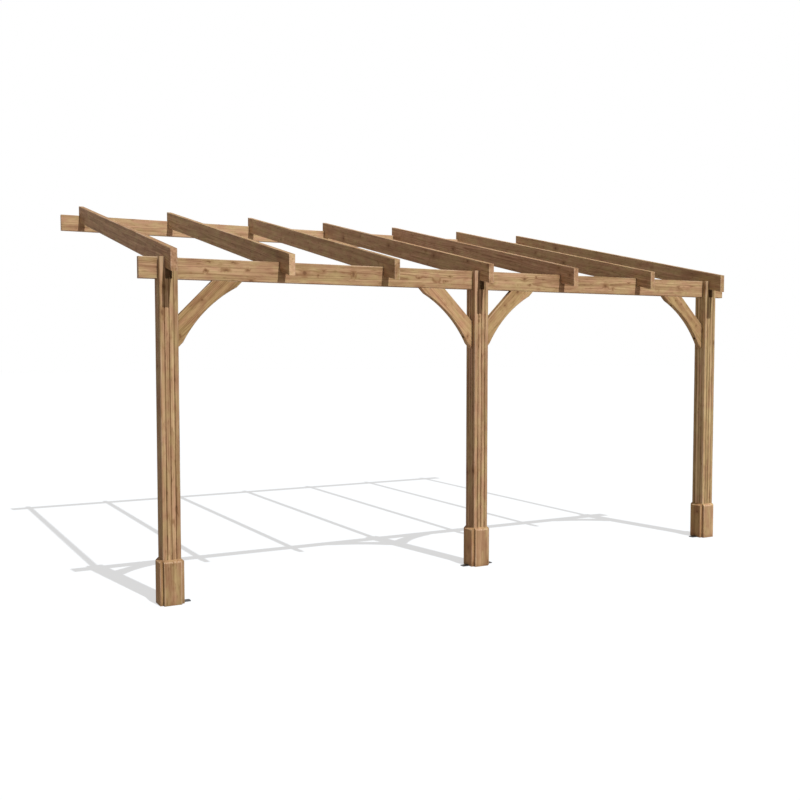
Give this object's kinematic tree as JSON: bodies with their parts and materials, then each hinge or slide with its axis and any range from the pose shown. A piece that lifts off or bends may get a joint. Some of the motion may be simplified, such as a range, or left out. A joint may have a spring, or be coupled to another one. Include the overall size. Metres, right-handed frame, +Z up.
{
  "type": "wall-mounted wooden pergola",
  "caption": "Lean-to garden pergola of brown softwood: grooved forked posts, front beam, wall plate, sloping notched rafters, curved knee braces, boarded plinths and steel feet.",
  "frame": {"origin": "middle of the wall plate's back face, which lies against the wall", "axes": "+X along the front beam to the right as seen from the garden, +Y into the wall, +Z up"},
  "size_m": [5.315, 3.1425, 3.0444],
  "materials": {
    "post_timber": "planed, treated brown",
    "frame_timber": "planed, treated brown",
    "rafter_timber": "planed, treated brown",
    "brace_timber": "planed, treated brown",
    "plinth_timber": "planed, treated brown",
    "bracket_steel": "black, satin"
  },
  "bodies": {
    "root": {"post_left": "post_timber", "post_middle": "post_timber", "post_right": "post_timber", "front_beam": "frame_timber", "wall_plate": "frame_timber", "rafter_1": "rafter_timber", "rafter_2": "rafter_timber", "rafter_3": "rafter_timber", "rafter_4": "rafter_timber", "rafter_5": "rafter_timber", "rafter_6": "rafter_timber", "rafter_7": "rafter_timber", "brace_left": "brace_timber", "brace_middle_left": "brace_timber", "brace_middle_right": "brace_timber", "brace_right": "brace_timber", "plinth_left_front": "plinth_timber", "plinth_left_right": "plinth_timber", "plinth_left_back": "plinth_timber", "plinth_left_left": "plinth_timber", "plinth_middle_front": "plinth_timber", "plinth_middle_right": "plinth_timber", "plinth_middle_back": "plinth_timber", "plinth_middle_left": "plinth_timber", "plinth_right_front": "plinth_timber", "plinth_right_right": "plinth_timber", "plinth_right_back": "plinth_timber", "plinth_right_left": "plinth_timber", "foot_bracket_left": "bracket_steel", "foot_bracket_middle_left": "bracket_steel", "foot_bracket_middle_right": "bracket_steel", "foot_bracket_right": "bracket_steel"}
  },
  "joints": []
}
